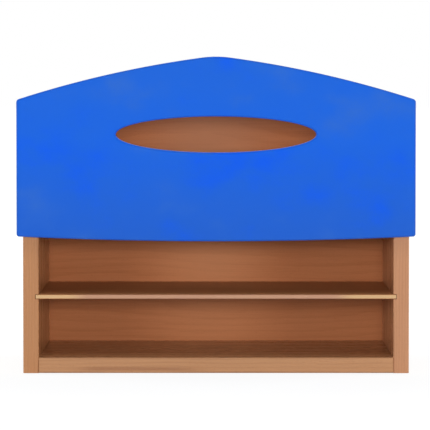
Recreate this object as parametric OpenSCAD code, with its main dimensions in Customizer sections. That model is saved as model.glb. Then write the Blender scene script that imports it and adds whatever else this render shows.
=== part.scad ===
// Storage shelf: a small wooden case, open at the front, with a tall painted front panel.
// The panel has a low pediment top and an elliptical hand hole, and hides an open-topped bin.
// A thin loose shelf slides in grooves in the sides.
// Millimetres, +Z up, front towards -Y. The origin is on the floor, in the middle of the whole.

/* [Case] */
// Width over both sides
case_w = 441; // [340:1:540]
// Depth of the sides, front edge to back edge
case_d = 250; // [180:5:320]
// Thickness of the sides
side_t = 18; // [15:0.5:24]
// Rounding of the sides' edges and of the front edge of the bottom board
edge_r = 2; // [0.5:0.5:4]

/* [Heights] */
// Thickness of the bottom board
bottom_t = 18; // [15:0.5:24]
// Clear height of the lower bay
lower_bay_h = 67; // [40:1:120]
// Clear height of the middle bay, from the loose shelf to the bin's floor
middle_bay_h = 70; // [40:1:120]
// Thickness of the bin's floor
bin_floor_t = 12; // [10:0.5:18]
// Height of the sides above the bin's floor
bin_h = 134; // [115:1:180]

/* [Loose shelf] */
// Thickness of the loose shelf
shelf_t = 5; // [4:0.5:9]
// Rounding of the shelf's front edge
shelf_nose_r = 1.5; // [0.5:0.25:2]
// Depth of the grooves that carry it
groove_depth = 4; // [3:0.5:6]
// Clearance above and below the shelf in its grooves
shelf_play = 0.25; // [0.1:0.05:0.5]
// Clearance at each end of the shelf and behind it
shelf_end_play = 0.5; // [0.3:0.1:1]

/* [Back panel] */
// Thickness of the back panel, and depth of its rabbets
back_t = 6; // [4:0.5:9]
// Width of the rabbet that each side has for it
rabbet_w = 9; // [7:0.5:11]

/* [Front panel] */
// Thickness of the front panel
panel_t = 15; // [12:0.5:22]
// How far the panel stands out past each side
panel_overhang = 6.5; // [0:0.5:20]
// How far its lower edge hangs below the bin's floor, in the middle
panel_lap = 8.5; // [6:0.5:20]
// How much higher the ends of the lower edge are than its middle
lower_bow = 5.5; // [2:0.5:12]
// Height of the panel's shoulders above the sides
shoulder_rise = 6.5; // [5:0.5:30]
// Height of the pediment, from the shoulders to the apex
pediment_h = 49; // [40:0.5:60]
// Radius of the two slopes of the pediment
slope_r = 1200; // [1100:10:1500]
// Radius of the rounded apex
apex_r = 120; // [90:5:200]
// Rounding of the panel's edges
panel_edge_r = 3; // [1:0.5:5]

/* [Hand hole] */
// Width of the elliptical hand hole
hole_w = 228; // [120:2:260]
// Height of the hand hole
hole_h = 41; // [30:0.5:60]
// Depth of the hole's centre below the apex
hole_drop = 88.5; // [80:0.5:100]
// Rounding of the hole's rim, front and back
hole_edge_r = 3; // [1:0.5:5]

/* [Cleats] */
// Width and depth of the cleats behind the front panel
cleat_w = 20; // [18:1:30]
// How far the cleats end below the top of the sides
cleat_drop = 10; // [4:1:20]
// Rounding of a cleat's free edge
cleat_edge_r = 3; // [1:0.5:6]

/* [Side joints] */
// Diameter of the screws through the sides
side_screw_d = 5; // [4:0.5:6]
// Length of the screws through the sides
side_screw_l = 45; // [35:1:60]
// Distance of those screws from the front and rear ends of the board that they hold
side_screw_inset = 55; // [40:1:70]
// Diameter of the wooden plugs over the screws
plug_d = 10; // [9:0.5:12]
// Thickness of the wooden plugs
plug_t = 5; // [3:0.5:7]
// Diameter of the dowels
dowel_d = 6; // [5:0.5:8]
// Length of the dowels
dowel_l = 30; // [24:1:36]
// How far the dowels go into a side
dowel_in_side = 11; // [8:0.5:13]
// Distance of the dowels from the front and rear ends of the board that they hold
dowel_inset = 22; // [15:1:30]

/* [Small screws] */
// Diameter of the screws in the cleats
cleat_screw_d = 3.5; // [3:0.5:4]
// Length of the screws in the cleats
cleat_screw_l = 30; // [26:1:31]
// Distance of the outer cleat screws from the ends of the cleat
cleat_screw_inset = 15; // [10:1:20]
// Step from a screw into the side to the next one, into the panel
cleat_screw_step = 22; // [15:1:30]
// Diameter of the screws in the back panel
back_screw_d = 3; // [2.5:0.5:3.5]
// Length of the screws in the back panel
back_screw_l = 18; // [14:1:22]
// Distance of the outer back screws from the corners of the clear opening
back_screw_inset = 40; // [25:1:60]
// Clearance round screws, plugs and dowels
fit_play = 0.05; // [0.02:0.01:0.1]

/* [Hidden] */
$fn = 32;

beech = [0.76, 0.56, 0.40];
pale_beech = [0.83, 0.69, 0.52];
back_wood = [0.66, 0.46, 0.32];
plug_wood = [0.70, 0.49, 0.33];
blue_paint = [0.13, 0.40, 0.88];
zinc = [0.75, 0.75, 0.72];

// Margin by which a cut runs past the face that it opens
over = 1;
// Steps along the front panel's long arcs, along its apex and across each of its rounded edges
long_steps = 20;
apex_steps = 8;
rim_steps = 4;
// Points round the hand hole, and how far they crowd towards its ends
hole_points = 96;
end_crowding = 11;

// Heights, from the floor up
shelf_z = bottom_t + lower_bay_h;
bin_floor_z = shelf_z + shelf_t + middle_bay_h;
bin_z = bin_floor_z + bin_floor_t;
case_h = bin_z + bin_h;
shoulder_z = case_h + shoulder_rise;
apex_z = shoulder_z + pediment_h;
panel_z = bin_floor_z - panel_lap;
hole_z = apex_z - hole_drop;
cleat_top_z = case_h - cleat_drop;

// Widths and depths
inner_w = case_w - 2 * side_t;
panel_w = case_w + 2 * panel_overhang;
case_front = (panel_t - case_d) / 2;
case_rear = case_front + case_d;
back_front = case_rear - back_t;
panel_front = case_front - panel_t;
board_d = back_front - case_front;
groove_h = shelf_t + 2 * shelf_play;

// Heights of the screws, plugs and dowels in the edges of the two fixed boards
bottom_mid_z = bottom_t / 2;
bin_floor_mid_z = bin_floor_z + bin_floor_t / 2;

// The pediment's two slopes are tangent to its apex arc, where both stand at seam_turn from
// straight up. Centres are [x, z], and the left slope mirrors the right one.
apex_centre = [0, apex_z - apex_r];
shoulder = [panel_w / 2, shoulder_z];
reach = norm(shoulder - apex_centre);
towards = (shoulder - apex_centre) / reach;
along = ((slope_r - apex_r) ^ 2 - slope_r ^ 2 + reach ^ 2) / (2 * reach);
across = sqrt((slope_r - apex_r) ^ 2 - along ^ 2);
slope_centre = apex_centre + along * towards + across * [towards.y, -towards.x];
seam_turn = asin(-slope_centre.x / (slope_r - apex_r));
// The lower edge bows down along one arc
lower_r = ((panel_w / 2) ^ 2 + lower_bow ^ 2) / (2 * lower_bow);
lower_centre = [0, panel_z + lower_r];

// A rectangle with its corners at `corners` rounded, each given as [0 or 1, 0 or 1]
module eased_rect(w, h, r, corners = [[0, 0], [1, 0], [0, 1], [1, 1]]) {
  difference() {
    square([w, h]);
    for (c = corners)
      translate([c.x * w, c.y * h]) mirror([c.x, 0]) mirror([0, c.y])
        difference() {
          translate([-over, -over]) square(r + over);
          translate([r, r]) circle(r);
        }
  }
}

// A board along X whose profile is drawn in Y and Z
module along_x(length) {
  translate([-length / 2, 0, 0]) rotate([90, 0, 90]) linear_extrude(length) children();
}

// A countersunk wood screw. Its head is flush at z = 0 and it points along +Z.
module screw(d, l, play = 0) {
  r = d / 2 + play;
  head_r = d * 0.95 + play;
  rim = d * 0.1;
  rotate_extrude()
    polygon([[0, 0], [head_r, 0], [head_r, rim], [r, rim + head_r - r], [r, l - d], [0, l + play]]);
}

// A real screw has a cross recess in its head
module driven_screw(d, l) {
  difference() {
    screw(d, l);
    for (turn = [0, 90])
      rotate(turn) translate([-d * 0.5, -d * 0.1, -over]) cube([d, d * 0.2, d * 0.4 + over]);
  }
}

// A dowel along +Z with chamfered ends
module dowel(d, l, play = 0) {
  r = d / 2 + play;
  c = d * 0.15;
  rotate_extrude() polygon([[0, 0], [r - c, 0], [r, c], [r, l - c], [r - c, l], [0, l]]);
}

// Puts its children on the left side's outer face, along the edge of a fixed board,
// with +Z going into the case
module on_left_edge(z, inset) {
  for (y = [case_front + inset, back_front - inset])
    translate([-case_w / 2, y, z]) rotate([0, 90, 0]) children();
}

module on_both_edges(z, inset) {
  on_left_edge(z, inset) children();
  mirror([1, 0, 0]) on_left_edge(z, inset) children();
}

module edge_dowels(z, play = 0) {
  on_both_edges(z, dowel_inset) translate([0, 0, side_t - dowel_in_side - play])
    dowel(dowel_d, dowel_l + 2 * play, play);
}

module edge_screws(z) {
  on_both_edges(z, side_screw_inset) translate([0, 0, plug_t]) driven_screw(side_screw_d, side_screw_l);
}

module edge_plugs(z) {
  on_both_edges(z, side_screw_inset) cylinder(h = plug_t, d = plug_d);
}

// What the screws, plugs and dowels take out of the left side and the end of one fixed board
module left_edge_holes(z) {
  on_left_edge(z, side_screw_inset) {
    translate([0, 0, -over]) cylinder(h = plug_t + over, d = plug_d + 2 * fit_play);
    translate([0, 0, plug_t]) screw(side_screw_d, side_screw_l, fit_play);
  }
  on_left_edge(z, dowel_inset) translate([0, 0, side_t - dowel_in_side - fit_play])
    dowel(dowel_d, dowel_l + 2 * fit_play, fit_play);
}

module both_edge_holes(z) {
  left_edge_holes(z);
  mirror([1, 0, 0]) left_edge_holes(z);
}

// The left cleat's places for screws: into the side, then into the panel
module on_left_cleat_to_side() {
  for (z = [bin_z + cleat_screw_inset, cleat_top_z - cleat_screw_inset])
    translate([cleat_w - inner_w / 2, case_front + cleat_w / 2, z]) rotate([0, -90, 0]) children();
}

module on_left_cleat_to_panel() {
  first_z = bin_z + cleat_screw_inset + cleat_screw_step;
  last_z = cleat_top_z - cleat_screw_inset - cleat_screw_step;
  for (z = [first_z, last_z])
    translate([(cleat_w - inner_w) / 2, case_front + cleat_w, z]) rotate([90, 0, 0]) children();
}

// The back panel's screws: up both rabbets, and along the rear edges of the fixed boards
module on_left_rabbet() {
  lower_z = bottom_t + lower_bay_h / 2;
  middle_z = shelf_z + shelf_t + middle_bay_h / 2;
  for (z = [lower_z, middle_z, bin_z + back_screw_inset, case_h - back_screw_inset / 2])
    translate([-(inner_w + rabbet_w) / 2, case_rear, z]) rotate([90, 0, 0]) children();
}

module on_board_rear(z) {
  outer_x = inner_w / 2 - back_screw_inset;
  for (x = [-outer_x, 0, outer_x])
    translate([x, case_rear, z]) rotate([90, 0, 0]) children();
}

module back_screw_hole() {
  screw(back_screw_d, back_screw_l, fit_play);
}

// The left side: eased edges, groove for the loose shelf, rabbet for the back panel
module side() {
  difference() {
    intersection() {
      translate([-case_w / 2, case_front, 0]) linear_extrude(case_h)
        eased_rect(side_t, case_d, edge_r);
      translate([-case_w / 2, case_rear + over, 0]) rotate([90, 0, 0]) linear_extrude(case_d + 2 * over)
        eased_rect(side_t, case_h, edge_r, [[0, 1], [1, 1]]);
    }
    translate([-inner_w / 2 - groove_depth, case_front - over, shelf_z - shelf_play])
      cube([groove_depth + over, board_d + 2 * over, groove_h]);
    translate([-inner_w / 2 - rabbet_w, back_front, -over])
      cube([rabbet_w + over, back_t + over, case_h + 2 * over]);
    left_edge_holes(bottom_mid_z);
    left_edge_holes(bin_floor_mid_z);
    on_left_cleat_to_side() screw(cleat_screw_d, cleat_screw_l, fit_play);
    on_left_rabbet() back_screw_hole();
  }
}

module left_side() {
  color(beech) side();
}

module right_side() {
  color(beech) mirror([1, 0, 0]) side();
}

// Lies between the sides, with its front edge flush with theirs
module bottom_board() {
  color(beech) difference() {
    along_x(inner_w) translate([case_front, 0]) eased_rect(board_d, bottom_t, edge_r, [[0, 0], [0, 1]]);
    both_edge_holes(bottom_mid_z);
    on_board_rear(bottom_mid_z) back_screw_hole();
  }
}

// Closes the middle bay at the top and carries what stands in the bin
module bin_floor() {
  color(beech) difference() {
    along_x(inner_w) translate([case_front, bin_floor_z]) square([board_d, bin_floor_t]);
    both_edge_holes(bin_floor_mid_z);
    on_board_rear(bin_floor_mid_z) back_screw_hole();
  }
}

// Slides in the grooves, stops against the back panel and pulls out to the front
module middle_shelf() {
  color(pale_beech)
    along_x(inner_w + 2 * (groove_depth - shelf_end_play)) translate([case_front, shelf_z])
      eased_rect(board_d - shelf_end_play, shelf_t, shelf_nose_r, [[0, 0], [0, 1]]);
}

// Sits in the sides' rabbets, behind the fixed boards
module back_panel() {
  color(back_wood) difference() {
    along_x(inner_w + 2 * (rabbet_w - fit_play)) translate([back_front, 0]) square([back_t, case_h]);
    on_left_rabbet() back_screw_hole();
    mirror([1, 0, 0]) on_left_rabbet() back_screw_hole();
    on_board_rear(bottom_mid_z) back_screw_hole();
    on_board_rear(bin_floor_mid_z) back_screw_hole();
  }
}

// Points [x, z] along an arc. Its angles run from straight up, clockwise seen from the front.
function arc(centre, radius, from, to, steps) =
  [for (i = [0 : steps]) let (turn = from + (to - from) * i / steps)
    centre + radius * [sin(turn), cos(turn)]];

// The angle at which an arc reaches the width x
function turn_at(centre, radius, x) = asin((x - centre.x) / radius);

// The front panel's outline, drawn in by `inset` all round: the bowed lower edge, the right
// slope, the apex and the left slope, with the upright edges between them
function panel_outline(inset) =
  let (
    edge_x = panel_w / 2 - inset,
    lower_turn = turn_at(lower_centre, lower_r - inset, edge_x),
    shoulder_turn = turn_at(slope_centre, slope_r - inset, edge_x),
    apex = arc(apex_centre, apex_r - inset, seam_turn, -seam_turn, apex_steps)
  )
  concat(
    arc(lower_centre, lower_r - inset, 180 + lower_turn, 180 - lower_turn, long_steps),
    arc(slope_centre, slope_r - inset, shoulder_turn, seam_turn, long_steps),
    [for (i = [1 : apex_steps - 1]) apex[i]],
    arc([-slope_centre.x, slope_centre.y], slope_r - inset, -seam_turn, -shoulder_turn, long_steps)
  );

// The hand hole's outline, let out by `outset` all round. The turn is stepped more finely
// towards the ends, which keeps them as smooth as the flanks.
function hole_outline(outset) =
  [for (i = [0 : hole_points - 1])
    let (step = i * 360 / hole_points, turn = step - end_crowding * sin(2 * step))
    [(hole_w / 2 + outset) * cos(turn), hole_z + (hole_h / 2 + outset) * sin(turn)]];

// A quarter round of radius r at both faces of the panel, from front to back. Each pair is
// how far the outline is drawn in, and how deep behind the front face.
function rim(r) =
  let (quarter = [for (i = [0 : rim_steps]) let (turn = 90 * i / rim_steps)
    [r * (1 - sin(turn)), r * (1 - cos(turn))]])
  concat(quarter, [for (i = [rim_steps : -1 : 0]) [quarter[i][0], panel_t - quarter[i][1]]]);

// Joins outlines of equal length, from front to back, each at its depth behind the front face
module loft(outlines, depths) {
  n = len(outlines[0]);
  last = (len(outlines) - 1) * n;
  points = [for (k = [0 : len(outlines) - 1]) for (p = outlines[k]) [p.x, panel_front + depths[k], p.y]];
  walls = [for (start = [0 : n : last - n]) for (i = [0 : n - 1]) let (next = (i + 1) % n)
    [start + i, start + next, start + n + next, start + n + i]];
  front_face = [for (i = [n - 1 : -1 : 0]) i];
  rear_face = [for (i = [0 : n - 1]) last + i];
  polyhedron(points, concat([front_face], walls, [rear_face]));
}

module panel_blank() {
  rings = rim(panel_edge_r);
  loft([for (ring = rings) panel_outline(ring[0])], [for (ring = rings) ring[1]]);
}

module hand_hole() {
  rings = concat([[hole_edge_r, -over]], rim(hole_edge_r), [[hole_edge_r, panel_t + over]]);
  loft([for (ring = rings) hole_outline(ring[0])], [for (ring = rings) ring[1]]);
}

module front_panel() {
  color(blue_paint) difference() {
    panel_blank();
    hand_hole();
    on_left_cleat_to_panel() screw(cleat_screw_d, cleat_screw_l, fit_play);
    mirror([1, 0, 0]) on_left_cleat_to_panel() screw(cleat_screw_d, cleat_screw_l, fit_play);
  }
}

// Stands on the bin's floor in the corner of the left side and the front panel
module cleat() {
  difference() {
    translate([-inner_w / 2, case_front, bin_z]) linear_extrude(cleat_top_z - bin_z)
      eased_rect(cleat_w, cleat_w, cleat_edge_r, [[1, 1]]);
    on_left_cleat_to_side() screw(cleat_screw_d, cleat_screw_l, fit_play);
    on_left_cleat_to_panel() screw(cleat_screw_d, cleat_screw_l, fit_play);
  }
}

module left_cleat() {
  color(beech) cleat();
}

module right_cleat() {
  color(beech) mirror([1, 0, 0]) cleat();
}

module bottom_dowels() {
  color(pale_beech) edge_dowels(bottom_mid_z);
}

module bin_floor_dowels() {
  color(pale_beech) edge_dowels(bin_floor_mid_z);
}

module bottom_screws() {
  color(zinc) edge_screws(bottom_mid_z);
}

module bin_floor_screws() {
  color(zinc) edge_screws(bin_floor_mid_z);
}

module bottom_plugs() {
  color(plug_wood) edge_plugs(bottom_mid_z);
}

module bin_floor_plugs() {
  color(plug_wood) edge_plugs(bin_floor_mid_z);
}

module cleat_screws() {
  color(zinc) {
    on_left_cleat_to_side() driven_screw(cleat_screw_d, cleat_screw_l);
    mirror([1, 0, 0]) on_left_cleat_to_side() driven_screw(cleat_screw_d, cleat_screw_l);
  }
}

module panel_screws() {
  color(zinc) {
    on_left_cleat_to_panel() driven_screw(cleat_screw_d, cleat_screw_l);
    mirror([1, 0, 0]) on_left_cleat_to_panel() driven_screw(cleat_screw_d, cleat_screw_l);
  }
}

module back_screws() {
  color(zinc) {
    on_left_rabbet() driven_screw(back_screw_d, back_screw_l);
    mirror([1, 0, 0]) on_left_rabbet() driven_screw(back_screw_d, back_screw_l);
    on_board_rear(bottom_mid_z) driven_screw(back_screw_d, back_screw_l);
    on_board_rear(bin_floor_mid_z) driven_screw(back_screw_d, back_screw_l);
  }
}

left_side();
right_side();
bottom_board();
bin_floor();
middle_shelf();
back_panel();
front_panel();
left_cleat();
right_cleat();
bottom_dowels();
bin_floor_dowels();
bottom_screws();
bin_floor_screws();
bottom_plugs();
bin_floor_plugs();
cleat_screws();
panel_screws();
back_screws();
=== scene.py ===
import math
from types import SimpleNamespace

import bmesh
import bpy
import numpy as np
from mathutils import Matrix, Vector


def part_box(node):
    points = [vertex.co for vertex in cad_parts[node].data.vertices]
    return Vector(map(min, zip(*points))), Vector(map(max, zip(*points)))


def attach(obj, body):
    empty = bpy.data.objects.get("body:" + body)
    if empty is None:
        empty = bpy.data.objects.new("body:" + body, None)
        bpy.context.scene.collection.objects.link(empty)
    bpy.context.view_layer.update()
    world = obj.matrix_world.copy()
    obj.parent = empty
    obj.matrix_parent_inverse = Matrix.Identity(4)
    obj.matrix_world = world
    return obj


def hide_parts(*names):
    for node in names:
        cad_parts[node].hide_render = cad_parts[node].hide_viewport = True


# A small storage shelf: beech case, thin loose shelf, blue painted front panel with a hand hole.
# Metres, +Z up, front towards -Y, as in the frame.

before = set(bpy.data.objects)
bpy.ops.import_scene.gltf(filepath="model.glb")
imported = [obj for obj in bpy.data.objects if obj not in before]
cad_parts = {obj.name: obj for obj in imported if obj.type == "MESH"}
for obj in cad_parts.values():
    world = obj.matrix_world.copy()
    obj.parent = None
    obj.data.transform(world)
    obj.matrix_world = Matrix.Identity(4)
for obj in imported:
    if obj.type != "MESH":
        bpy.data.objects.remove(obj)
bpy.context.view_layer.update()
scene = bpy.context.scene
print("frame loaded:", len(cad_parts), "nodes")


# camera, lights and floor

view = {
    "lens": 277.6,
    "sensor": 36.0,
    "clip": (0.1, 100.0),
    "from": (-0.0012, -3.8975, 0.341),
    "at": (-0.0012, -0.1175, 0.181),
}

lamps = {
    # name: place, what it points at, width, height, level on a surface that faces it
    "key": ((0.04, -4.50, 0.46), (0.0, -0.12, 0.12), 0.7, 0.4, 0.39),
    "leftKey": ((-2.12, -3.94, 0.58), (0.0, -0.12, 0.12), 1.0, 0.5, 0.16),
    "rightKey": ((2.34, -3.81, 0.43), (0.0, -0.12, 0.12), 1.0, 0.5, 0.16),
    "topKey": ((0.0, -1.95, 2.74), (0.0, -0.12, 0.12), 1.2, 1.0, 0.17),
    "leftFill": ((-2.6, 1.2, 1.7), (0.0, 0.0, 0.15), 1.6, 1.6, 0.38),
    "rightFill": ((2.6, 1.2, 1.7), (0.0, 0.0, 0.15), 1.6, 1.6, 0.38),
    "backFill": ((0.0, 3.2, 1.5), (0.0, 0.0, 0.18), 1.8, 1.4, 0.34),
}

air = {
    "level": 0.18,
    "floorSize": 30.0,
    "floorGrey": 0.80,
    "floorDrop": 0.0004,    # keeps the floor from showing through the underside
    "underside": (3, 5),    # rays shorter than three to five drops start on the underside
    "glowNear": 0.84,       # share of glow in the floor beside the shelf, where its shadow shows
    "glowFar": 1.0,
    "near": 0.30,           # distances from the middle between which the glow takes over
    "far": 0.90,
    "glowLevel": 1.08,
}

white = (1.0, 1.0, 1.0, 1.0)


def srgb(red, green, blue):
    # a colour as it is read off a screen, 0 to 255, made linear
    def line(part):
        part /= 255
        return part / 12.92 if part <= 0.04045 else ((part + 0.055) / 1.055) ** 2.4
    return (line(red), line(green), line(blue), 1.0)


def tinted(colour, factors):
    return (*(part * factor for part, factor in zip(colour, factors)), 1.0)


class Wire:
    # one output of a node; arithmetic on it adds Math nodes
    def __init__(self, board, socket):
        self.board, self.socket = board, socket

    def other(self, output):
        return Wire(self.board, self.socket.node.outputs[output])

    def math(self, operation, *others, first=None):
        terms = (self, *others) if first is None else (first, self)
        return self.board.node("ShaderNodeMath", {"operation": operation}, dict(enumerate(terms)))

    def __add__(self, other):
        return self.math("ADD", other)

    def __sub__(self, other):
        return self.math("SUBTRACT", other)

    def __mul__(self, other):
        return self.math("MULTIPLY", other)

    def __truediv__(self, other):
        return self.math("DIVIDE", other)

    def __rsub__(self, other):
        return self.math("SUBTRACT", first=other)

    __radd__ = __add__
    __rmul__ = __mul__


class Board:
    # a node tree that is being wired
    def __init__(self, owner):
        owner.use_nodes = True
        self.owner, self.tree = owner, owner.node_tree
        self.tree.nodes.clear()

    def node(self, kind, settings=None, inputs=None, output=0):
        made = self.tree.nodes.new(kind)
        for setting, value in (settings or {}).items():
            if setting == "stops":
                self.setStops(made.color_ramp.elements, value)
            else:
                setattr(made, setting, value)
        for socket, value in (inputs or {}).items():
            if isinstance(value, Wire):
                self.tree.links.new(value.socket, made.inputs[socket])
            else:
                made.inputs[socket].default_value = value
        return Wire(self, made.outputs[output]) if made.outputs else None

    def setStops(self, elements, stops):
        while len(elements) > 1:
            elements.remove(elements[-1])
        elements[0].position, elements[0].color = stops[0]
        for place, colour in stops[1:]:
            elements.new(place).color = colour

    def span(self, value, low, high, start=0.0, end=1.0, kind="SMOOTHSTEP"):
        settings = {"interpolation_type": kind}
        inputs = {0: value, 1: low, 2: high, 3: start, 4: end}
        return self.node("ShaderNodeMapRange", settings, inputs)

    def blend(self, share, first, second, kind="MIX"):
        settings = {"data_type": "RGBA", "blend_type": kind}
        return self.node("ShaderNodeMix", settings, {0: share, 6: first, 7: second}, 2)

    def joined(self, *parts):
        return self.node("ShaderNodeCombineXYZ", {}, dict(enumerate(parts)))

    def split(self, vector):
        first = self.node("ShaderNodeSeparateXYZ", {}, {0: vector})
        return first, first.other("Y"), first.other("Z")

    def place(self):
        return self.node("ShaderNodeTexCoord", {}, {}, "Object")

    def attribute(self, name):
        return self.node("ShaderNodeAttribute", {"attribute_name": name}, {}, "Fac")

    def noise(self, vector, detail, roughness, output=0):
        inputs = {"Vector": vector, "Scale": 1.0, "Detail": detail, "Roughness": roughness}
        return self.node("ShaderNodeTexNoise", {}, inputs, output)

    def bump(self, height, distance, strength):
        inputs = {"Height": height, "Distance": distance, "Strength": strength}
        return self.node("ShaderNodeBump", {}, inputs)

    def surface(self, constants, **changing):
        shader = self.node("ShaderNodeBsdfPrincipled", {}, {**constants, **changing})
        self.node("ShaderNodeOutputMaterial", {}, {"Surface": shader})


def newFinish(name):
    return Board(bpy.data.materials.new(name))


def seenByEye(board):
    # 1 for camera, mirror and glass rays, which are the ones that show the background
    path = board.node("ShaderNodeLightPath")
    seen = path + path.other("Is Glossy Ray") + path.other("Is Transmission Ray")
    return seen.math("MINIMUM", 1.0)


def aimed(name, data, place, at):
    made = bpy.data.objects.new(name, data)
    made.location = place
    made.rotation_euler = (Vector(at) - Vector(place)).to_track_quat("-Z", "Y").to_euler()
    scene.collection.objects.link(made)
    return made


def makeCameraAndLamps():
    scene.view_settings.view_transform = "Standard"
    eye = bpy.data.cameras.new("eye")
    eye.lens, eye.sensor_width = view["lens"], view["sensor"]
    eye.clip_start, eye.clip_end = view["clip"]
    scene.camera = aimed("eye", eye, view["from"], view["at"])
    for name, (place, at, width, height, level) in lamps.items():
        lamp = bpy.data.lights.new(name, "AREA")
        lamp.shape, lamp.size, lamp.size_y = "RECTANGLE", width, height
        distance = (Vector(at) - Vector(place)).length
        lamp.energy = level * math.pi ** 2 * distance ** 2
        # nothing in the photograph mirrors a lamp, so the lamps light without a highlight
        aimed(name, lamp, place, at).visible_glossy = False
    print("camera and lamps made")


def makeSky():
    sky = bpy.data.worlds.new("sky")
    scene.world = sky
    board = Board(sky)
    level = board.span(seenByEye(board), 0.0, 1.0, air["level"], 1.0, "LINEAR")
    background = board.node("ShaderNodeBackground", {}, {0: white, 1: level})
    board.node("ShaderNodeOutputWorld", {}, {0: background})


def floorFinish():
    board = newFinish("floorWhite")
    grey = air["floorGrey"]
    diffuse = board.node("ShaderNodeBsdfDiffuse", {}, {0: (grey, grey, grey, 1.0)})
    glow = board.node("ShaderNodeEmission", {}, {0: white, 1: air["glowLevel"]})
    distance = board.node("ShaderNodeVectorMath", {"operation": "LENGTH"}, {0: board.place()}, "Value")
    share = board.span(distance, air["near"], air["far"], air["glowNear"], air["glowFar"])
    mixed = board.node("ShaderNodeMixShader", {}, {0: seenByEye(board) * share, 1: diffuse, 2: glow})

    # seen from below the floor is clear, and it doesn't darken the underside that rests on it
    path = board.node("ShaderNodeLightPath")
    shortest, longest = (air["floorDrop"] * drops for drops in air["underside"])
    close = 1.0 - board.span(path.other("Ray Length"), shortest, longest)
    passing = (path.other("Is Diffuse Ray") + path.other("Is Shadow Ray")) * close
    below = board.node("ShaderNodeNewGeometry", {}, {}, "Backfacing")
    clear = board.node("ShaderNodeBsdfTransparent")
    share = (below + passing).math("MINIMUM", 1.0)
    surface = board.node("ShaderNodeMixShader", {}, {0: share, 1: mixed, 2: clear})
    board.node("ShaderNodeOutputMaterial", {}, {"Surface": surface})
    return board.owner


def makeFloor():
    bm = bmesh.new()
    bmesh.ops.create_grid(bm, x_segments=1, y_segments=1, size=air["floorSize"])
    bmesh.ops.translate(bm, verts=bm.verts, vec=(0.0, 0.0, -air["floorDrop"]))
    floor = holder("floor", bm)
    floor.data.materials.append(floorFinish())
    print("floor made")


# wood and paint

grainScales = {
    # how closely each pattern repeats, along the grain and across it
    "drift": (2.4, 11.0),       # how the trunk bends
    "waver": (9.0, 60.0),       # how the rings waver
    "broad": (3.0, 42.0),       # broad changes of tone
    "fibre": (70.0, 2600.0),
    "strands": (14.0, 520.0),
    "flecks": (210.0, 1500.0),
}

grainMix = {
    "cutLength": 9.0,           # how far apart along the trunk the staves were cut, at most
    "seedLength": 3.1,
    "cutAside": 0.09,
    "leastDepth": 0.6,          # of the heart, as a share of its usual depth
    "waverShare": 1.1,          # in rings
    "lateStarts": (0.35, 0.90),     # where late wood sets in and ends, as shares of a ring
    "lateEnds": (0.92, 1.0),
    "lateMean": 0.36,
    "fibreTint": 0.34,
    "strandTint": 0.36,
}

woodMarks = {
    # shares of the fleck's colour, and where each mark is seen
    "fleck": 0.42,
    "fleckRadius": (0.10, 0.26),
    "fleckChance": (0.40, 0.55),
    "glue": 0.30,
    "glueHalf": (0.00008, 0.00030),
    "handled": 0.22,
    "handledStrands": 0.4,
    "handledSpan": (0.40, 0.66),
    "endGrain": 0.55,
}

woodRelief = {
    "fibre": 0.35,
    "strands": 0.25,
    "late": 0.18,
    "fleck": 0.6,
    "glue": 0.8,
    "distance": 0.00012,
    "strength": 0.55,
}

woodDulling = {"fibre": 0.14, "broad": 0.08, "endGrain": 0.10, "handled": 0.07}

plyMix = {
    "crossStarts": (0.47, 0.53),    # where a crossing ply sets in and ends, as shares of two plies
    "crossEnds": (0.96, 1.0),
    "fibre": 0.35,
    "waver": 1.2,
}

beechLook = {
    "axes": "XYZ",          # along the grain, across the staves, through the thickness
    "seed": 1.0,
    "stave": 0.050,         # width of one glued stave
    "staveShift": 0.0,
    "ring": 0.0036,         # spacing of the growth rings
    "heartDepth": 0.070,    # how far the tree's heart lies below the face
    "waviness": 0.016,
    "middle": (192, 136, 90),
    "pale": (1.17, 1.20, 1.24),     # times the middle colour
    "dark": (0.74, 0.65, 0.57),
    "end": (0.70, 0.58, 0.48),
    "fleck": (122, 72, 42),
    "staveTint": 0.16,
    "ringTint": 0.20,
    "broadTint": 0.60,
    "roughness": 0.28,      # satin lacquer, in which the back shows along the bays' sides
    "specular": 0.50,
    "streak": None,
    "glow": None,
    "plies": None,
    "worn": None,
}
plyLook = {"ringTint": 0.12, "broadTint": 0.45, "roughness": 0.46, "specular": 0.30}


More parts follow.
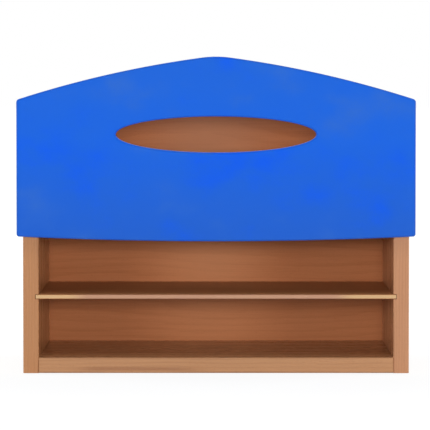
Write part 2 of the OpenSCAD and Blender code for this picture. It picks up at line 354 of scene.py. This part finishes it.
def grainOf(board, look):
    # the patterns from which one wood's colour, roughness and relief are mixed
    mix = grainMix
    parts = board.split(board.place())
    byLetter = dict(zip("XYZ", parts))
    along, wide, thick = (byLetter[letter] for letter in look["axes"])

    # every glued stave comes from another place in another tree
    staves = wide / look["stave"] + look["staveShift"]
    stave = staves.math("FLOOR")
    draw = {"W": stave + look["seed"]}
    chance = board.node("ShaderNodeTexWhiteNoise", {"noise_dimensions": "1D"}, draw, "Color")
    chanceX, chanceY, chanceZ = board.split(chance)
    shift = chanceZ * mix["cutLength"] + look["seed"] * mix["seedLength"]
    inStave = wide - (stave + 0.5 - look["staveShift"]) * look["stave"]
    run = along + shift

    def stretched(pattern):
        lengthwise, crosswise = grainScales[pattern]
        return board.joined(run * lengthwise, wide * crosswise, thick * crosswise)

    driftX, driftY, _ = board.split(board.noise(stretched("drift"), 2.0, 0.5, "Color"))
    across = inStave + (chanceX - 0.5) * mix["cutAside"] + (driftX - 0.5) * look["waviness"]
    depth = look["heartDepth"] * (mix["leastDepth"] + chanceY)
    deep = thick + depth + (driftY - 0.5) * look["waviness"]
    radius = (across * across + deep * deep).math("SQRT")
    waver = board.noise(stretched("waver"), 3.0, 0.6)
    phase = (radius / look["ring"] + (waver - 0.5) * mix["waverShare"]).math("FRACT")
    late = board.span(phase, *mix["lateStarts"]) * (1.0 - board.span(phase, *mix["lateEnds"]))

    broad = board.noise(stretched("broad"), 3.0, 0.55)
    fibre = board.noise(stretched("fibre"), 3.0, 0.6)
    strands = board.noise(stretched("strands"), 2.0, 0.5)
    tone = 0.5 + (late - mix["lateMean"]) * look["ringTint"] + (broad - 0.5) * look["broadTint"]
    tone = tone + (fibre - 0.5) * mix["fibreTint"] + (strands - 0.5) * mix["strandTint"]
    tone = tone + (chanceY - 0.5) * look["staveTint"]
    return SimpleNamespace(
        x=byLetter["X"], y=byLetter["Y"], z=byLetter["Z"], along=along, thick=thick, inStave=inStave,
        waver=waver, late=late, broad=broad, fibre=fibre, strands=strands, tone=tone,
        cells=stretched("flecks"),
    )


def marksOf(board, look, grain):
    # beech's short dark flecks, the glue lines, the handled edges and the cut ends, each from 0 to 1
    marks = woodMarks
    settings = {"Vector": grain.cells, "Scale": 1.0, "Randomness": 1.0}
    cell = board.node("ShaderNodeTexVoronoi", {}, settings, "Distance")
    few = board.split(cell.other("Color"))[0]
    fleck = (1.0 - board.span(cell, *marks["fleckRadius"])) * board.span(few, *marks["fleckChance"])
    seam = (grain.inStave.math("ABSOLUTE") - look["stave"] / 2).math("ABSOLUTE")
    glue = 1.0 - board.span(seam, *marks["glueHalf"])
    # handling darkens and polishes the rounded edges here and there
    touched = grain.broad + (grain.strands - 0.5) * marks["handledStrands"]
    handled = board.attribute("rim") * board.span(touched, *marks["handledSpan"])
    return fleck, glue, handled, board.attribute("endGrain")


def addStreak(board, grain, streak, colour, dark):
    # a dark streak along the grain that fades at both ends
    wave = (grain.broad - 0.5) * streak["wave"]
    off = (grain.z + wave - streak["height"]).math("ABSOLUTE")
    start, end, fade = streak["from"], streak["to"], streak["fade"]
    core, rim = streak["half"]
    mask = 1.0 - board.span(off, core, rim)
    mask = mask * board.span(grain.along, start - fade, start + fade)
    mask = mask * (1.0 - board.span(grain.along, end - fade * 2, end + fade))
    return board.blend(mask * streak["share"], colour, dark)


def addPaintedLight(board, grain, glow, colour):
    # painted light and shade on the front face: painted shade where the bin is, and a painted pool of
    # light round its middle that fades towards the bottom and the top, with soft ends
    front = 1.0 - board.span(grain.thick, *glow["front"])
    shadeInBin = board.span(grain.z, *glow["binShadeFrom"]) * front
    # painted shade in the bin, behind the hand hole
    colour = board.blend(shadeInBin, colour, (*glow["binShadeTint"], 1.0), "MULTIPLY")
    # a painted pool of light round the middle of the bays and the hand hole
    off = (grain.x + (grain.broad - 0.5) * glow["wave"] - glow["middle"]).math("ABSOLUTE")
    mask = (1.0 - board.span(off, 0.0, glow["half"])) * front
    stops = [(height, (share, share, share, 1.0)) for height, share in glow["shares"]]
    mask = mask * board.node("ShaderNodeValToRGB", {"stops": stops}, {0: grain.z})
    return board.blend(mask, colour, srgb(*glow["tone"]))


def addPlies(board, grain, plies, colour):
    # on a cut edge the plies lie on each other, and every other one shows its end grain
    mix = plyMix
    pale, dark = srgb(*plies["pale"]), srgb(*plies["dark"])
    layer = (grain.thick - plies["from"]) / plies["thickness"]
    lines = (layer * 0.5).math("FRACT")
    crossing = board.span(lines, *mix["crossStarts"]) * (1.0 - board.span(lines, *mix["crossEnds"]))
    lengthwise = board.blend(grain.fibre * mix["fibre"], pale, dark)
    core = board.blend((grain.waver * mix["waver"]).math("MINIMUM", 1.0), dark, pale)
    layered = board.blend(crossing, lengthwise, core)
    return board.blend(board.attribute("plyEdge"), colour, layered)


def addDarkerMiddle(board, grain, worn, colour):
    # the front edge is darker along its middle, in patches
    off = (grain.x + (grain.broad - 0.5) * worn["wave"] - worn["middle"]).math("ABSOLUTE")
    mask = 1.0 - board.span(off, *worn["half"])
    mask = mask * (1.0 - board.span(grain.y, *worn["front"]))
    least, added = worn["patchy"]
    mask = mask * (least + grain.strands * added)
    return board.blend(mask * worn["share"], colour, srgb(*worn["tone"]))


def woodFinish(name, **changes):
    look = {**beechLook, **changes}
    marks, relief, dulling = woodMarks, woodRelief, woodDulling
    board = newFinish(name)
    grain = grainOf(board, look)
    fleck, glue, handled, endGrain = marksOf(board, look, grain)

    middle, dark = srgb(*look["middle"]), srgb(*look["fleck"])
    stops = [(0.0, tinted(middle, look["pale"])), (0.5, middle), (1.0, tinted(middle, look["dark"]))]
    colour = board.node("ShaderNodeValToRGB", {"stops": stops}, {0: grain.tone})
    colour = board.blend(fleck * marks["fleck"], colour, dark)
    colour = board.blend(glue * marks["glue"], colour, dark)
    colour = board.blend(handled * marks["handled"], colour, dark)
    if look["streak"]:
        colour = addStreak(board, grain, look["streak"], colour, dark)
    # painted light and shade on the back's front face
    if look["glow"]:
        colour = addPaintedLight(board, grain, look["glow"], colour)
    colour = board.blend(endGrain * marks["endGrain"], colour, tinted(middle, look["end"]))
    if look["plies"]:
        colour = addPlies(board, grain, look["plies"], colour)
    # the shelf's front edge, darker along its middle
    if look["worn"]:
        colour = addDarkerMiddle(board, grain, look["worn"], colour)

    height = grain.fibre * relief["fibre"] + grain.strands * relief["strands"]
    height = height - grain.late * relief["late"] - fleck * relief["fleck"] - glue * relief["glue"]
    rough = look["roughness"] + (grain.fibre - 0.5) * dulling["fibre"]
    rough = rough + (grain.broad - 0.5) * dulling["broad"]
    rough = rough + endGrain * dulling["endGrain"] - handled * dulling["handled"]
    normal = board.bump(height, relief["distance"], relief["strength"])
    board.surface(
        {"Specular IOR Level": look["specular"], "Metallic": 0.0},
        **{"Base Color": colour, "Roughness": rough, "Normal": normal},
    )
    return board.owner


paintLook = {
    "seed": 5.0,            # moves the clouds to another place
    "upper": (28, 95, 204),
    "middle": (24, 95, 211),
    "lower": (32, 91, 194),
    "middleAt": 0.55,       # between the low and the high of the next line
    "climb": (0.150, 0.360),
    "thick": (8, 86, 226),
    "thin": (49, 102, 193),
    # how closely each pattern repeats across and upwards, and its detail
    "clouds": (9.0, 14.0, 3.0),
    "coats": (30.0, 34.0, 2.0),
    "stipple": (620.0, 620.0, 2.0),
    "peel": (240.0, 240.0, 1.0),
    "shade": {"clouds": 1.05, "coats": 0.34, "stipple": 0.16},
    "fullShade": 0.35,      # at which the paint is wholly the thin or the thick tone
    "wornSpan": (0.50, 0.75),
    "wornStipple": 0.5,
    "worn": 0.35,
    "roughness": 0.42,
    "dulling": {"clouds": 0.10, "stipple": 0.10, "worn": 0.08},
    "relief": {"stipple": 0.45, "peel": 0.8, "distance": 0.00010, "strength": 0.5},
    "specular": 0.16,
}


def paintFinish(name):
    look = paintLook
    shares, dulling, relief = look["shade"], look["dulling"], look["relief"]
    board = newFinish(name)
    x, y, z = board.split(board.place())
    thin, thick = srgb(*look["thin"]), srgb(*look["thick"])
    climb = board.span(z, *look["climb"], 0.0, 1.0, "LINEAR")
    stops = [
        (0.0, srgb(*look["lower"])),
        (look["middleAt"], srgb(*look["middle"])),
        (1.0, srgb(*look["upper"])),
    ]
    colour = board.node("ShaderNodeValToRGB", {"stops": stops}, {0: climb})

    def pattern(kind, seed=0.0):
        across, upwards, detail = look[kind]
        return board.noise(board.joined(x * across, y * across + seed, z * upwards), detail, 0.5)

    # the coats lie a little unevenly: broad clouds, and the roller's fine stipple
    clouds, coats = pattern("clouds", look["seed"]), pattern("coats")
    stipple, peel = pattern("stipple"), pattern("peel")
    shade = (clouds - 0.5) * shares["clouds"] + (coats - 0.5) * shares["coats"]
    shade = shade + (stipple - 0.5) * shares["stipple"]
    colour = board.blend(board.span(shade, 0.0, look["fullShade"]), colour, thin)
    colour = board.blend(board.span(shade, 0.0, -look["fullShade"]), colour, thick)

    # paint is thinner along the rounded edges
    patchy = coats + (stipple - 0.5) * look["wornStipple"]
    worn = board.attribute("rim") * board.span(patchy, *look["wornSpan"])
    colour = board.blend(worn * look["worn"], colour, thin)

    rough = look["roughness"] + (clouds - 0.5) * dulling["clouds"]
    rough = rough + (stipple - 0.5) * dulling["stipple"] + worn * dulling["worn"]
    height = stipple * relief["stipple"] + peel * relief["peel"]
    normal = board.bump(height, relief["distance"], relief["strength"])
    board.surface(
        {"Specular IOR Level": look["specular"], "Metallic": 0.0},
        **{"Base Color": colour, "Roughness": rough, "Normal": normal},
    )
    return board.owner


zincLook = {
    "spots": 900.0,
    "dull": 160.0,
    "bright": (196, 194, 184),
    "grey": (158, 158, 152),
    "roughness": (0.30, 0.22),      # the least, and what the spots add
    "relief": (0.00003, 0.4),
}


def zincFinish(name):
    look = zincLook
    board = newFinish(name)
    place = board.place()
    spots = board.node("ShaderNodeTexNoise", {}, {"Vector": place, "Scale": look["spots"], "Detail": 3.0})
    dull = board.node("ShaderNodeTexNoise", {}, {"Vector": place, "Scale": look["dull"], "Detail": 2.0})
    colour = board.blend(dull, srgb(*look["bright"]), srgb(*look["grey"]))
    least, added = look["roughness"]
    rough = least + spots * added
    normal = board.bump(spots, *look["relief"])
    board.surface({"Metallic": 1.0}, **{"Base Color": colour, "Roughness": rough, "Normal": normal})
    return board.owner


# making a piece

roundSteps = 5          # facets across a rounded edge
arrisSteps = 2
tiny = 1e-5             # metres between which two places count as one
weld = 1e-6

faceTests = {
    # the part of a face's normal along an axis that decides what the face is
    "endGrain": 0.8,
    "plyEdge": 0.6,
    "rim": 0.995,
}


def addBox(bm, low, high):
    verts = bmesh.ops.create_cube(bm, size=1.0)["verts"]
    bmesh.ops.scale(bm, verts=verts, vec=Vector(high) - Vector(low))
    bmesh.ops.translate(bm, verts=verts, vec=(Vector(high) + Vector(low)) / 2)


def addRound(bm, place, direction, nearRadius, farRadius, depth, segments=48):
    turn = Vector((0.0, 0.0, 1.0)).rotation_difference(Vector(direction)).to_matrix().to_4x4()
    matrix = Matrix.Translation(Vector(place) + Vector(direction) * depth / 2) @ turn
    bmesh.ops.create_cone(
        bm, cap_ends=True, segments=segments, radius1=nearRadius, radius2=farRadius,
        depth=depth, matrix=matrix,
    )


def addCountersink(bm, screw, settings):
    # a cone for a screw's head, which starts a little before the board's face
    place, direction, _, radius = screw
    lead, wide = 0.001, radius + settings["ring"]
    narrow = wide - settings["sinkTaper"]
    addRound(bm, place - direction * lead, direction, wide + lead, narrow, settings["sinkDepth"], 32)


def ease(bm, edges, radius, segments):
    bmesh.ops.bevel(
        bm, geom=edges, offset=radius, offset_type="OFFSET", affect="EDGES",
        segments=segments, profile=0.5, material=-1, clamp_overlap=True, loop_slide=False,
    )


def creases(bm, least=1.2):
    # the edges at which two faces meet at more than this angle, in radians
    return [e for e in bm.edges if e.is_manifold and e.calc_face_angle() > least]


def holder(name, bm):
    mesh = bpy.data.meshes.new(name)
    bm.to_mesh(mesh)
    bm.free()
    made = bpy.data.objects.new(name, mesh)
    scene.collection.objects.link(made)
    return made


def carved(bm, cutter, touching=False):
    # takes the closed bodies in cutter out of bm
    blank, tool = holder("blank", bm), holder("tool", cutter)
    cut = blank.modifiers.new("cut", "BOOLEAN")
    cut.operation, cut.solver, cut.object, cut.use_self = "DIFFERENCE", "EXACT", tool, touching
    bpy.context.view_layer.update()
    done = blank.evaluated_get(bpy.context.evaluated_depsgraph_get())
    result = bmesh.new()
    result.from_mesh(done.to_mesh())
    done.to_mesh_clear()
    for made in (blank, tool):
        mesh = made.data
        bpy.data.objects.remove(made)
        bpy.data.meshes.remove(mesh)
    bmesh.ops.remove_doubles(result, verts=result.verts, dist=weld)
    return result


def tagFaces(mesh, layer, test):
    # a value of 1 on the faces whose normal passes the test
    normals = np.empty(len(mesh.polygons) * 3)
    mesh.polygons.foreach_get("normal", normals)
    corners = np.empty(len(mesh.polygons), int)
    mesh.polygons.foreach_get("loop_total", corners)
    marks = np.repeat(test(normals.reshape(-1, 3)).astype(np.float32), corners)
    mesh.attributes.new(layer, "FLOAT", "CORNER").data.foreach_set("value", marks)


def addPiece(name, bm, finish, node, slot, grain=None, plyFace=None, rimFaces=False, sharp=40.0):
    bmesh.ops.recalc_face_normals(bm, faces=bm.faces)
    for face in bm.faces:
        face.smooth = True
    piece = holder(name, bm)
    mesh = piece.data
    mesh.materials.append(finish)
    mesh.set_sharp_from_angle(angle=math.radians(sharp))
    if grain:
        axis = "XYZ".index(grain)
        tagFaces(mesh, "endGrain", lambda normals: np.abs(normals[:, axis]) > faceTests["endGrain"])
    if plyFace:
        axis = "XYZ".index(plyFace)
        tagFaces(mesh, "plyEdge", lambda normals: np.abs(normals[:, axis]) < faceTests["plyEdge"])
    if rimFaces:
        tagFaces(mesh, "rim", lambda normals: np.abs(normals).max(axis=1) < faceTests["rim"])
    weighted = piece.modifiers.new("weighted", "WEIGHTED_NORMAL")
    weighted.keep_sharp = True
    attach(piece, "loose_shelf" if node == "middle_shelf" else "case")
    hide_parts(node)


def islandsOf(node):
    # the separate bodies of a CAD node, each as an array of its points
    bm = bmesh.new()
    bm.from_mesh(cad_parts[node].data)
    bmesh.ops.remove_doubles(bm, verts=bm.verts, dist=weld)
    left, islands = set(bm.verts), []
    while left:
        waiting, island = [left.pop()], []
        while waiting:
            vert = waiting.pop()
            island.append(vert.co.copy())
            for edge in vert.link_edges:
                far = edge.other_vert(vert)
                if far in left:
                    left.remove(far)
                    waiting.append(far)
        islands.append(np.array(island))
    bm.free()
    return sorted(islands, key=lambda points: tuple(np.round(points.mean(axis=0), 4)))


def screwsOf(node):
    # each screw: the middle of its head, the way it points, its length and its head's radius
    onEnd = 1e-4
    found = []
    for points in islandsOf(node):
        low, high = points.min(axis=0), points.max(axis=0)
        axis = int(np.argmax(high - low))
        ends = {}
        for side, place in ((1, low[axis]), (-1, high[axis])):
            near = points[np.abs(points[:, axis] - place) < onEnd]
            ends[side] = np.delete(near.max(axis=0) - near.min(axis=0), axis).max() / 2
        side = max(ends, key=ends.get)
        middle = (low + high) / 2
        middle[axis] = low[axis] if side == 1 else high[axis]
        direction = np.zeros(3)
        direction[axis] = side
        length = float(high[axis] - low[axis])
        found.append((Vector(middle), Vector(direction), length, float(ends[side])))
    return found


# the case

sideSettings = {
    "edge": 0.0020,
    "grooveDepth": 0.0040,
    "groovePlay": 0.00025,
    "grooveOver": 0.0005,       # how far the groove runs on into the rabbet
    "plugRing": 0.00018,        # the fine gap round a plug
    "past": 0.01,               # how far the cutters stand out of the board
}


def makeSide(node, finish):
    s = sideSettings
    low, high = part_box(node)
    mirror = 1.0 if low.x < 0 else -1.0
    inner, outer = (high.x, low.x) if mirror > 0 else (low.x, high.x)
    shelfLow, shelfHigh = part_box("middle_shelf")
    backLow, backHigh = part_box("back_panel")
    past = s["past"]
    bm = bmesh.new()
    addBox(bm, low, high)
    upper = [e for e in bm.edges if max(v.co.z for v in e.verts) > low.z + tiny]
    ease(bm, upper, s["edge"], roundSteps)

    cutter = bmesh.new()
    mouth = inner + mirror * past
    grooveEnd = inner - mirror * s["grooveDepth"]
    addBox(
        cutter,
        (min(grooveEnd, mouth), low.y - past, shelfLow.z - s["groovePlay"]),
        (max(grooveEnd, mouth), backLow.y + s["grooveOver"], shelfHigh.z + s["groovePlay"]),
    )
    rabbetEnd = backLow.x if mirror > 0 else backHigh.x
    addBox(
        cutter,
        (min(rabbetEnd, mouth), backLow.y, low.z - past),
        (max(rabbetEnd, mouth), high.y + past, high.z + past),
    )
    bm = carved(bm, cutter, touching=True)

    cutter = bmesh.new()
    for plugs in ("bottom_plugs", "bin_floor_plugs"):
        for points in islandsOf(plugs):
            middle, reach = (points.max(axis=0) + points.min(axis=0)) / 2, np.ptp(points, axis=0)
            if middle[0] * mirror < 0:
                start = Vector((outer - mirror * past, middle[1], middle[2]))
                radius = reach[1] / 2 + s["plugRing"]
                addRound(cutter, start, (mirror, 0.0, 0.0), radius, radius, reach[0] + past)
    bm = carved(bm, cutter)
    name = "leftSide" if mirror > 0 else "rightSide"
    addPiece(name, bm, finish, node, "beech", grain="Z", rimFaces=True)


bottomSettings = {"edge": 0.0020, "arris": 0.0003}
binFloorSettings = {"edge": 0.0006, "arris": 0.0003}
shelfSettings = {"edge": 0.0015, "arris": 0.0003}


def makeBoard(name, node, slot, finish, settings, **faces):
    # a board between the sides; its front edges are rounded, all the others only broken
    low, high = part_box(node)
    bm = bmesh.new()
    addBox(bm, low, high)
    front = []
    for edge in bm.edges:
        first, second = (v.co for v in edge.verts)
        if max(first.y, second.y) < low.y + tiny and abs(first.x - second.x) > (high.x - low.x) / 2:
            front.append(edge)
    ease(bm, front, settings["edge"], roundSteps)
    ease(bm, creases(bm), settings["arris"], arrisSteps)
    addPiece(name, bm, finish, node, slot, **faces)


backSettings = {"arris": 0.0004, "ring": 0.00020, "sinkTaper": 0.0017, "sinkDepth": 0.0037}


def makeBack(finish):
    s = backSettings
    low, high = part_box("back_panel")
    bm = bmesh.new()
    addBox(bm, low, high)
    ease(bm, bm.edges[:], s["arris"], arrisSteps)
    cutter = bmesh.new()
    for screw in screwsOf("back_screws"):
        addCountersink(cutter, screw, s)
    bm = carved(bm, cutter)
    addPiece("backPanel", bm, finish, "back_panel", "back_ply", plyFace="Y")


cleatSettings = {
    "free": 0.0030,             # the rounding of the one edge that stands free in the bin
    "arris": 0.0004,
    "ring": 0.00020,
    "sinkTaper": 0.0020,
    "sinkDepth": 0.0040,
}


def makeCleat(node, finish):
    s = cleatSettings
    low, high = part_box(node)
    mirror = 1.0 if low.x < 0 else -1.0
    bm = bmesh.new()
    addBox(bm, low, high)
    freeX = high.x if mirror > 0 else low.x

    def isFree(vert):
        return abs(vert.co.x - freeX) < tiny and vert.co.y > high.y - tiny

    ease(bm, [e for e in bm.edges if all(isFree(v) for v in e.verts)], s["free"], roundSteps)
    ease(bm, creases(bm), s["arris"], arrisSteps)
    cutter = bmesh.new()
    for screw in screwsOf("cleat_screws") + screwsOf("panel_screws"):
        if screw[0].x * mirror < 0:
            addCountersink(cutter, screw, s)
    bm = carved(bm, cutter)
    name = "leftCleat" if mirror > 0 else "rightCleat"
    addPiece(name, bm, finish, node, "beech", grain="Z", rimFaces=True)


plugSettings = {"arris": 0.00030, "sunk": 0.00005}


def makePlugs(name, node, finish):
    s = plugSettings
    bm = bmesh.new()
    for points in islandsOf(node):
        low, high = points.min(axis=0), points.max(axis=0)
        side = -1.0 if low[0] < 0 else 1.0
        middle = (low + high) / 2
        start = Vector((high[0] if side < 0 else low[0], middle[1], middle[2]))
        depth = high[0] - low[0] - s["sunk"]
        radius = (high[1] - low[1]) / 2
        addRound(bm, start, (side, 0.0, 0.0), radius, radius, depth)
    ease(bm, creases(bm), s["arris"], arrisSteps)
    addPiece(name, bm, finish, node, "plug_wood")


# the front panel

panelSettings = {
    "slopeRadius": 1.200,
    "apexRadius": 0.120,
    "shoulderDrop": 0.049,      # from the apex to the shoulders
    "bow": 0.0055,              # how far the lower edge sags between its ends
    "edge": 0.003,
    "edgeSteps": 6,
    "edgeAngle": 0.7,
    "holeWidth": 0.228,
    "holeHeight": 0.041,
    "holeDrop": 0.0885,         # from the apex to the hole's middle
    "holeSegments": 128,
    "arcSteps": 26,
    "apexSteps": 8,
}


def panelArcs(low, high):
    # the shoulder's place, and the centres and turns of the arcs on the panel's right half
    s = panelSettings
    half = (high.x - low.x) / 2
    shoulder = Vector((half, 0.0, high.z - s["shoulderDrop"]))
    apexCentre = Vector((0.0, 0.0, high.z - s["apexRadius"]))
    toShoulder = shoulder - apexCentre
    inside = s["slopeRadius"] - s["apexRadius"]
    reach = toShoulder.length
    along = (inside ** 2 - s["slopeRadius"] ** 2 + reach ** 2) / (2 * reach)
    sideways = math.sqrt(inside ** 2 - along ** 2)
    unit = toShoulder / reach
    slopeCentre = apexCentre + along * unit + sideways * Vector((unit.z, 0.0, -unit.x))
    seamTurn = math.asin(-slopeCentre.x / inside)
    shoulderTurn = math.asin((shoulder.x - slopeCentre.x) / s["slopeRadius"])
    lowerRadius = (half ** 2 + s["bow"] ** 2) / (2 * s["bow"])
    lowerCentre = Vector((0.0, 0.0, low.z + lowerRadius))
    return shoulder, (
        (lowerCentre, -math.asin(half / lowerRadius), s["arcSteps"]),
        (slopeCentre, -(shoulderTurn - seamTurn), s["arcSteps"]),
        (apexCentre, -seamTurn, s["apexSteps"]),
    )


def addPanelOutline(bm, low, high):
    # the right half, from the middle of the lower edge round to the apex, and then its mirror image
    shoulder, (lowerArc, slopeArc, apexArc) = panelArcs(low, high)

    def sweep(tip, arc):
        centre, angle, steps = arc
        made = bmesh.ops.spin(
            bm, geom=[tip], cent=centre, axis=(0.0, 1.0, 0.0), dvec=(0, 0, 0), angle=angle,
            steps=steps, use_merge=False,
        )
        return next(v for v in made["geom_last"] if isinstance(v, bmesh.types.BMVert))

    tip = sweep(bm.verts.new((0.0, 0.0, low.z)), lowerArc)
    lifted = bmesh.ops.extrude_vert_indiv(bm, verts=[tip])["verts"][0]
    lifted.co = shoulder
    tip = sweep(lifted, slopeArc)
    sweep(tip, apexArc)
    bmesh.ops.mirror(bm, geom=bm.verts[:] + bm.edges[:], axis="X", merge_dist=tiny)
    bmesh.ops.remove_doubles(bm, verts=bm.verts, dist=weld)


def addHandHole(bm, middle):
    s = panelSettings
    turned = Matrix.Rotation(math.radians(90.0), 4, "X")
    hole = bmesh.ops.create_circle(bm, segments=s["holeSegments"], radius=0.5, matrix=turned)["verts"]
    bmesh.ops.scale(bm, verts=hole, vec=(s["holeWidth"], 1.0, s["holeHeight"]))
    bmesh.ops.translate(bm, verts=hole, vec=middle)


def makeFrontPanel(finish):
    s = panelSettings
    low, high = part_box("front_panel")
    bm = bmesh.new()
    addPanelOutline(bm, low, high)
    addHandHole(bm, (0.0, 0.0, high.z - s["holeDrop"]))
    bmesh.ops.triangle_fill(bm, use_beauty=True, use_dissolve=False, edges=bm.edges[:])
    bmesh.ops.translate(bm, verts=bm.verts, vec=(0.0, low.y, 0.0))
    grown = bmesh.ops.extrude_face_region(bm, geom=bm.faces[:], use_keep_orig=True)["geom"]
    moved = [g for g in grown if isinstance(g, bmesh.types.BMVert)]
    bmesh.ops.translate(bm, verts=moved, vec=(0.0, high.y - low.y, 0.0))
    bmesh.ops.recalc_face_normals(bm, faces=bm.faces)
    ease(bm, creases(bm, s["edgeAngle"]), s["edge"], s["edgeSteps"])
    addPiece("frontPanel", bm, finish, "front_panel", "blue_paint", rimFaces=True)


# screws

screwSettings = {
    "sink": 0.00020,
    "headRatio": 0.95,          # the head's radius over the shank's diameter
    # the head's flat top and its rim's height, the cross recess and its slots, in head radii
    "flat": 0.80,
    "rim": 0.10,
    "recess": 0.46,
    "slot": 0.11,
    "depth": 0.40,
    "recessTip": 0.10,
    "recessOver": 0.4,
    "corner": 1.4142,           # a square's corner against the middle of its side
    "segments": 32,
    "turn": 97.0,               # so that no two heads stop at the same angle
}


def screwBody(length, radius):
    # half of the section, from the head's middle to the tip, spun round
    s = screwSettings
    shank = radius / s["headRatio"] / 2
    rim = radius * s["rim"]
    section = [
        (0.0, 0.0), (radius * s["flat"], 0.0), (radius, rim), (shank, rim + radius - shank),
        (shank, length - shank * 2 - s["sink"]), (0.0, length - s["sink"]),
    ]
    bm = bmesh.new()
    tip = bm.verts.new((section[0][0], 0.0, section[0][1]))
    for across, down in section[1:]:
        tip = bmesh.ops.extrude_vert_indiv(bm, verts=[tip])["verts"][0]
        tip.co = (across, 0.0, down)
    bmesh.ops.spin(
        bm, geom=bm.verts[:] + bm.edges[:], cent=(0, 0, 0), axis=(0, 0, 1), dvec=(0, 0, 0),
        angle=math.tau, steps=s["segments"], use_merge=True,
    )
    bmesh.ops.remove_doubles(bm, verts=bm.verts, dist=weld)
    bmesh.ops.recalc_face_normals(bm, faces=bm.faces)
    return bm


def crossRecess(radius):
    # two flat wedges that cross each other
    s = screwSettings
    bm = bmesh.new()
    corner = Matrix.Rotation(math.radians(45), 4, "Z")
    for turn in (0.0, 90.0):
        made = bmesh.ops.create_cone(
            bm, cap_ends=True, segments=4, radius1=radius * s["recess"] * s["corner"],
            radius2=radius * s["recessTip"], depth=radius * (s["depth"] * 2 + s["recessOver"]),
            matrix=Matrix.Translation((0, 0, radius * s["depth"])) @ corner,
        )["verts"]
        bmesh.ops.scale(bm, verts=made, vec=(1.0, s["slot"] / s["recess"], 1.0))
        turned = Matrix.Rotation(math.radians(turn), 3, "Z")
        bmesh.ops.rotate(bm, verts=made, cent=(0, 0, 0), matrix=turned)
    return bm


def makeScrews(name, node, finish):
    s = screwSettings
    bm = bmesh.new()
    for place, direction, length, radius in screwsOf(node):
        one = carved(screwBody(length, radius), crossRecess(radius), touching=True)
        aim = Vector((0, 0, 1)).rotation_difference(direction).to_matrix().to_4x4()
        spun = Matrix.Rotation(place.z * s["turn"], 4, "Z")
        seat = Matrix.Translation(place + direction * s["sink"])
        bmesh.ops.transform(one, verts=one.verts, matrix=seat @ aim @ spun)
        mesh = bpy.data.meshes.new("oneScrew")
        one.to_mesh(mesh)
        one.free()
        bm.from_mesh(mesh)
        bpy.data.meshes.remove(mesh)
    addPiece(name, bm, finish, node, "zinc", sharp=30.0)


# putting it together

makeCameraAndLamps()
makeSky()
makeFloor()

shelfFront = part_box("middle_shelf")[0]
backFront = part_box("back_panel")[0]
sideWood = {"axes": "ZYX", "stave": 0.0500, "staveShift": 0.35}
boardWood = {"axes": "XYZ", "stave": 0.0610}
bottomStreak = {
    "height": 0.005, "half": (0.00077, 0.0033), "from": -0.152, "to": -0.020, "fade": 0.02,
    "wave": 0.004, "share": 0.42,
}
shelfPlies = {"from": shelfFront.z, "thickness": 0.00167, "pale": (213, 177, 132), "dark": (190, 150, 106)}
shelfDarkerMiddle = {
    "front": (shelfFront.y + 0.0005, shelfFront.y + 0.0015), "middle": -0.007, "half": (0.138, 0.166),
    "wave": 0.02, "patchy": (0.8, 0.4), "tone": (180, 134, 112), "share": 0.8,
}
backPlies = {"from": backFront.y, "thickness": 0.0012, "pale": (206, 164, 118), "dark": (166, 118, 78)}
# painted light and shade on the back panel's front face
backPaintedLight = {
    "front": (backFront.y + 0.001, backFront.y + 0.004), "middle": -0.010, "half": 0.105,
    "wave": 0.03, "tone": (214, 154, 113), "binShadeFrom": (0.19, 0.25), "binShadeTint": (0.94, 0.90, 0.82),
    # height and the share of the painted light there
    "shares": [(0.03, 0.13), (0.15, 0.42), (0.20, 0.42), (0.25, 0.47), (0.27, 0.46), (0.32, 0.20)],
}
finishes = {
    "leftSide": woodFinish("leftSideBeech", seed=3.0, **sideWood),
    "rightSide": woodFinish("rightSideBeech", seed=8.0, middle=(204, 148, 108), **sideWood),
    "bottom": woodFinish(
        "bottomBeech", seed=14.0, middle=(178, 129, 89), streak=bottomStreak, **boardWood
    ),
    "binFloor": woodFinish("binFloorBeech", seed=21.0, **boardWood),
    "cleat": woodFinish("cleatBeech", seed=33.0, axes="ZYX", stave=0.08),
    "plug": woodFinish("plugBeech", seed=41.0, axes="ZYX", stave=0.03, middle=(168, 114, 74)),
    "dowel": woodFinish(
        "dowelWood", seed=47.0, axes="XYZ", stave=0.02, middle=(208, 166, 122), roughness=0.46
    ),
    "shelf": woodFinish(
        "shelfPly", seed=52.0, axes="XYZ", stave=0.40, ring=0.0045, heartDepth=0.20, waviness=0.030,
        plies=shelfPlies, worn=shelfDarkerMiddle, **plyLook
    ),
    "back": woodFinish(
        "backPly", seed=67.0, axes="XZY", stave=0.70, ring=0.0048, heartDepth=0.22, waviness=0.034,
        middle=(184, 117, 76), plies=backPlies, glow=backPaintedLight, **plyLook
    ),
    "paint": paintFinish("bluePaint"),
    "zinc": zincFinish("zincPlate"),
}
print("finishes made")

makeSide("left_side", finishes["leftSide"])
makeSide("right_side", finishes["rightSide"])
beechFaces = {"grain": "X", "rimFaces": True}
makeBoard("bottomBoard", "bottom_board", "beech", finishes["bottom"], bottomSettings, **beechFaces)
makeBoard("binFloor", "bin_floor", "beech", finishes["binFloor"], binFloorSettings, **beechFaces)
makeBoard("middleShelf", "middle_shelf", "shelf_ply", finishes["shelf"], shelfSettings, plyFace="Z")
makeBack(finishes["back"])
makeCleat("left_cleat", finishes["cleat"])
makeCleat("right_cleat", finishes["cleat"])
makePlugs("bottomPlugs", "bottom_plugs", finishes["plug"])
makePlugs("binFloorPlugs", "bin_floor_plugs", finishes["plug"])
print("case made")
makeFrontPanel(finishes["paint"])
print("front panel made")
makeScrews("cleatScrews", "cleat_screws", finishes["zinc"])
makeScrews("panelScrews", "panel_screws", finishes["zinc"])
makeScrews("backScrews", "back_screws", finishes["zinc"])
print("screws made")

for node, finish in (
    ("bottom_dowels", "dowel"), ("bin_floor_dowels", "dowel"),
    ("bottom_screws", "zinc"), ("bin_floor_screws", "zinc"),
):
    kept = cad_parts[node]
    for slot in kept.material_slots:
        slot.material = finishes[finish]
